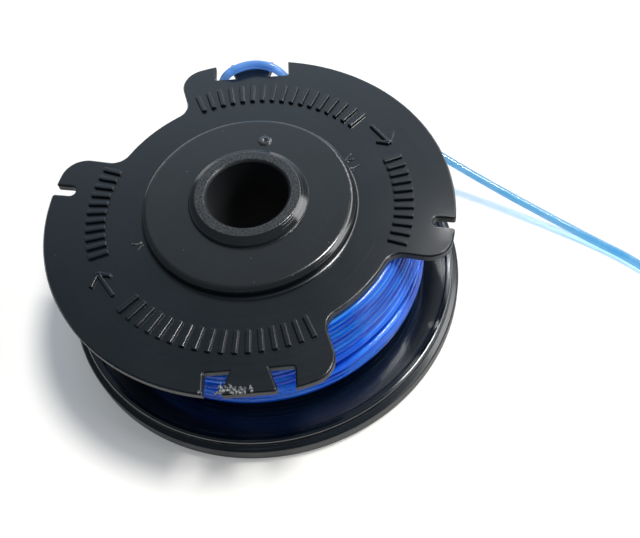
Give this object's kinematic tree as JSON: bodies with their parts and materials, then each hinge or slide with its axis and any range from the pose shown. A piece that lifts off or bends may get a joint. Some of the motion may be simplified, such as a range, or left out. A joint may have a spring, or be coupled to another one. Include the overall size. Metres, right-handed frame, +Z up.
{
  "type": "trimmer line spool",
  "caption": "Flanged plastic spool wound with trimmer line; windows, slits and cleat tabs in its top flange hold and show the line, and a central bore drops onto the head's spindle.",
  "frame": {"origin": "on the bore's axis, in the plane of the foot under the lower flange", "axes": "+Z up along the bore to the collar; +Y to the cleat tab that carries the loop of line; +X to the side where the free end leaves"},
  "size_m": [0.1177, 0.073, 0.0269],
  "materials": {
    "spool": "satin",
    "line": "gloss"
  },
  "bodies": {
    "root": {"spool_body": "spool", "wound_line": "line", "line_tail": "line"}
  },
  "joints": []
}
